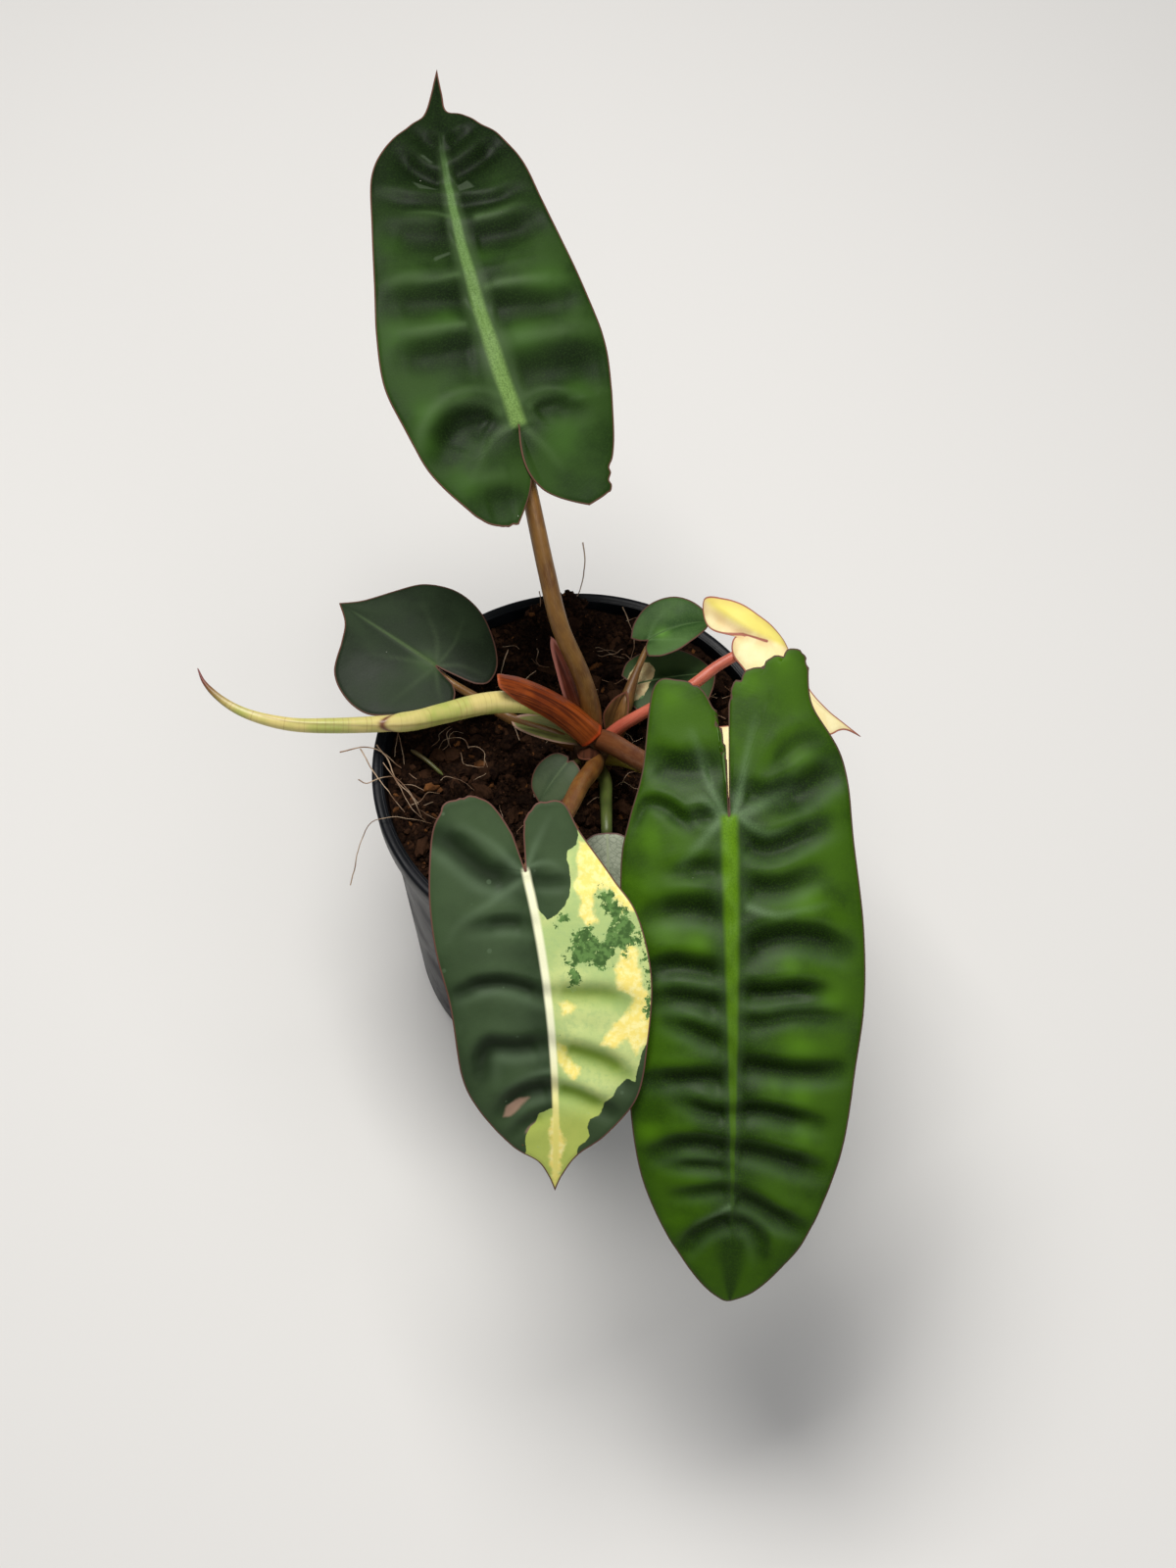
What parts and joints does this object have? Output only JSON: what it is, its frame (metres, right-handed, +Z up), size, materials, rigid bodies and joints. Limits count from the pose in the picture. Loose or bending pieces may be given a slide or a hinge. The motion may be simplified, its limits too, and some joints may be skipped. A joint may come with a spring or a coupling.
{
  "type": "potted philodendron billietiae",
  "caption": "Young aroid house plant with long quilted heart-based leaves on arching stalks, one of them variegated, in a black round nursery pot filled with bark soil.",
  "frame": {"origin": "centre of the pot's flat underside", "axes": "+Z up along the pot's axis, -Y towards the side that the two big leaves hang over, +X to the right from there"},
  "size_m": [0.1928, 0.3497, 0.2239],
  "materials": {
    "pot_plastic": "satin moulded",
    "soil": "loose bark and coir chips",
    "stem": "dull",
    "petiole_brown": "smooth, soft sheen",
    "petiole_green": "smooth, soft sheen",
    "petiole_red": "smooth, soft sheen",
    "petiole_yellow": "smooth, soft sheen",
    "spear": "smooth, waxy",
    "cataphyll": "satin",
    "red_sheath": "dry",
    "leaf_dark": "waxy, satin",
    "leaf_vivid": "waxy, satin",
    "leaf_variegated": "waxy, satin",
    "leaf_grey_green": "waxy, satin",
    "leaf_marbled": "waxy, satin",
    "leaf_cream": "waxy, satin",
    "leaf_pale": "waxy, satin"
  },
  "bodies": {
    "root": {"pot": "pot_plastic", "soil": "soil", "stem": "stem", "petiole_A": "petiole_brown", "petiole_B": "petiole_brown", "petiole_C": "petiole_brown", "petiole_D": "petiole_brown", "petiole_F": "petiole_brown", "petiole_G": "petiole_green", "petiole_H": "petiole_red", "petiole_I": "petiole_green", "petiole_J": "petiole_green", "petiole_K": "petiole_yellow", "spear": "spear", "cataphyll": "cataphyll", "red_sheath": "red_sheath", "blade_A": "leaf_dark", "blade_B": "leaf_vivid", "blade_C": "leaf_variegated", "blade_D": "leaf_grey_green", "blade_F": "leaf_dark", "blade_G": "leaf_marbled", "blade_H": "leaf_cream", "blade_I": "leaf_grey_green", "blade_J": "leaf_pale", "blade_K": "leaf_cream"}
  },
  "joints": []
}
